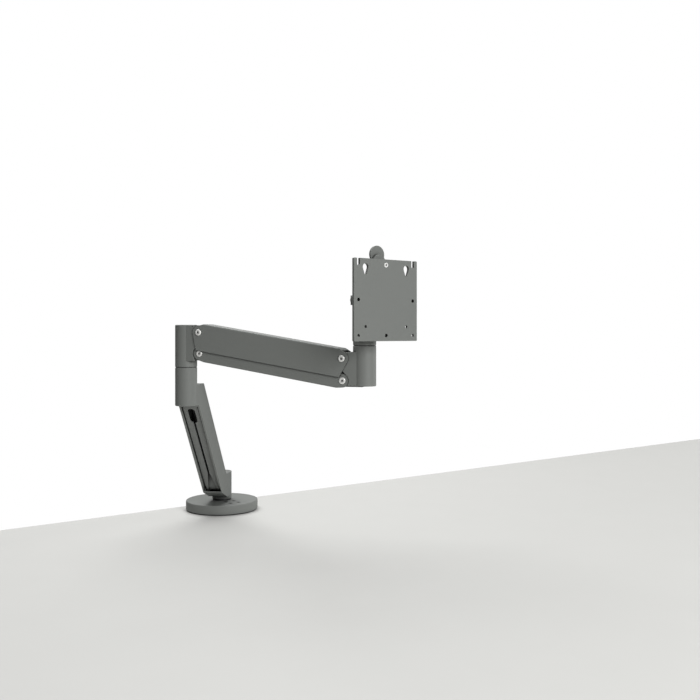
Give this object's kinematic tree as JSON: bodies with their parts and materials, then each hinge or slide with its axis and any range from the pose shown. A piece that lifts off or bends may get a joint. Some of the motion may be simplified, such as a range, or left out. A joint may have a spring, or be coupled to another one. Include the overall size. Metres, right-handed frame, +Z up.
{
  "type": "monitor arm",
  "caption": "Desk-edge monitor arm with a swivelling angled lower link, a gas-sprung parallelogram upper arm and a tilting screen plate.",
  "frame": {"origin": "centre of the base's underside on the desk top", "axes": "+Z up, +Y off the desk's back edge, the screen plate faces -Y"},
  "size_m": [0.2408, 0.4983, 0.5606],
  "materials": {
    "painted_casting": "satin grey powder coat on cast aluminium",
    "painted_steel": "satin grey powder coat on steel",
    "moulded_cover": "fine moulded texture",
    "bearing_plastic": "matte",
    "bright_steel": "zinc plated",
    "dark_steel": "black oxide",
    "inner_steel": "turned",
    "spring_black": "gloss black",
    "rod_chrome": "polished",
    "pad_rubber": "matte"
  },
  "bodies": {
    "base": {"base_disc": "painted_steel", "base_pad": "pad_rubber", "base_disc_screws": "dark_steel", "base_spindle": "inner_steel", "base_retaining_washer": "inner_steel", "base_retaining_screw": "inner_steel", "clamp_bracket": "painted_steel", "base_thrust_washer": "bearing_plastic"},
    "clamp_pad": {"clamp_pad": "painted_steel", "clamp_pad_rubber": "pad_rubber"},
    "clamp_screw": {"clamp_screw": "bright_steel", "clamp_handle": "bright_steel"},
    "lower_link": {"lower_link": "painted_casting", "lower_cable_cover": "moulded_cover", "base_bush_lower": "bearing_plastic", "base_bush_upper": "bearing_plastic", "base_cap": "moulded_cover", "elbow_spindle": "inner_steel", "elbow_plug": "moulded_cover", "elbow_washer": "bearing_plastic", "elbow_retaining_washer": "inner_steel", "elbow_retaining_screw": "inner_steel"},
    "elbow": {"elbow_knuckle": "painted_casting", "elbow_bush_lower": "bearing_plastic", "elbow_bush_upper": "bearing_plastic", "elbow_cap": "moulded_cover", "elbow_pivot_screws": "bright_steel", "lift_adjuster_screw": "inner_steel", "lift_adjuster_nut": "inner_steel"},
    "upper_link": {"arm_top_channel": "painted_steel", "spring_anchor_pin": "painted_steel"},
    "under_link": {"arm_under_channel": "painted_steel"},
    "spring_tube": {"gas_spring_tube": "spring_black", "gas_spring_gland": "bearing_plastic"},
    "spring_rod": {"gas_spring_rod": "rod_chrome"},
    "head_knuckle": {"head_knuckle": "painted_casting", "head_pivot_screws": "bright_steel", "head_bush_upper": "bearing_plastic", "head_bush_lower": "bearing_plastic", "head_cap": "moulded_cover", "head_washer": "bearing_plastic"},
    "swivel_head": {"swivel_head": "painted_casting", "head_spindle": "inner_steel", "head_grub_screw": "inner_steel", "head_retaining_washer": "inner_steel", "head_retaining_screw": "inner_steel"},
    "tilt_head": {"tilt_axle": "bright_steel", "tilt_friction_washers": "bearing_plastic", "tilt_nuts": "dark_steel", "tilt_bracket": "painted_steel", "vesa_plate": "painted_steel", "plate_screw": "bright_steel"},
    "release_latch": {"release_latch": "painted_steel", "latch_stop_pin": "bright_steel"}
  },
  "joints": [
    {"name": "base_swivel", "type": "hinge", "parent": "base", "child": "lower_link", "pos_m": [0, 0, 0], "axis": [0, 0, 1], "continuous": true},
    {"name": "elbow_swivel", "type": "hinge", "parent": "lower_link", "child": "elbow", "pos_m": [-0.14187, -0.13941, 0.2609], "axis": [0, 0, 1], "continuous": true},
    {"name": "arm_lift", "type": "hinge", "parent": "elbow", "child": "upper_link", "pos_m": [-0.12483, -0.16411, 0.3148], "axis": [-0.8231, -0.5678, 0], "range_deg": [-25.7, 54.3]},
    {"name": "under_link_swing", "type": "hinge", "parent": "elbow", "child": "under_link", "pos_m": [-0.12483, -0.16411, 0.2823], "axis": [-0.8231, -0.5678, 0], "range_deg": [-26.2, 54.8]},
    {"name": "head_level", "type": "hinge", "parent": "upper_link", "child": "head_knuckle", "pos_m": [0.00686, -0.355, 0.27682], "axis": [-0.8231, -0.5678, 0], "range_deg": [-54.8, 26.2]},
    {"name": "gas_spring_swing", "type": "hinge", "parent": "elbow", "child": "spring_tube", "pos_m": [-0.12426, -0.16493, 0.3008], "axis": [-0.8231, -0.5678, 0], "range_deg": [-26.07, 54.53]},
    {"name": "gas_spring_stroke", "type": "slide", "parent": "spring_tube", "child": "spring_rod", "axis": [0.5644, -0.8181, -0.1104], "range_m": [-0.00624, 0.01263]},
    {"name": "head_pan", "type": "hinge", "parent": "head_knuckle", "child": "swivel_head", "pos_m": [0.02389, -0.37969, 0.29612], "axis": [0, 0, 1], "range_deg": [-55.4, 124.6]},
    {"name": "head_tilt", "type": "hinge", "parent": "swivel_head", "child": "tilt_head", "pos_m": [0.02389, -0.40729, 0.36042], "axis": [-1, 0, 0], "range_deg": [-20, 45]},
    {"name": "release_latch_slide", "type": "slide", "parent": "tilt_head", "child": "release_latch", "axis": [0, 0, 1], "range_m": [0, 0.006]},
    {"name": "clamp_travel", "type": "slide", "parent": "base", "child": "clamp_pad", "axis": [0, 0, 1], "range_m": [-0.035, 0.015]},
    {"name": "clamp_turn", "type": "hinge", "parent": "clamp_pad", "child": "clamp_screw", "pos_m": [0, 0.038, -0.06], "axis": [0, 0, 1], "continuous": true}
  ],
  "couplings": [
    {"joint": "under_link_swing", "follows": "arm_lift", "ratio": 1},
    {"joint": "head_level", "follows": "arm_lift", "ratio": -1},
    {"joint": "gas_spring_swing", "follows": "arm_lift", "ratio": 0.995},
    {"joint": "gas_spring_stroke", "follows": "arm_lift", "m_per_rad": 0.0128},
    {"joint": "clamp_turn", "follows": "clamp_travel", "rad_per_m": 4188.8}
  ]
}
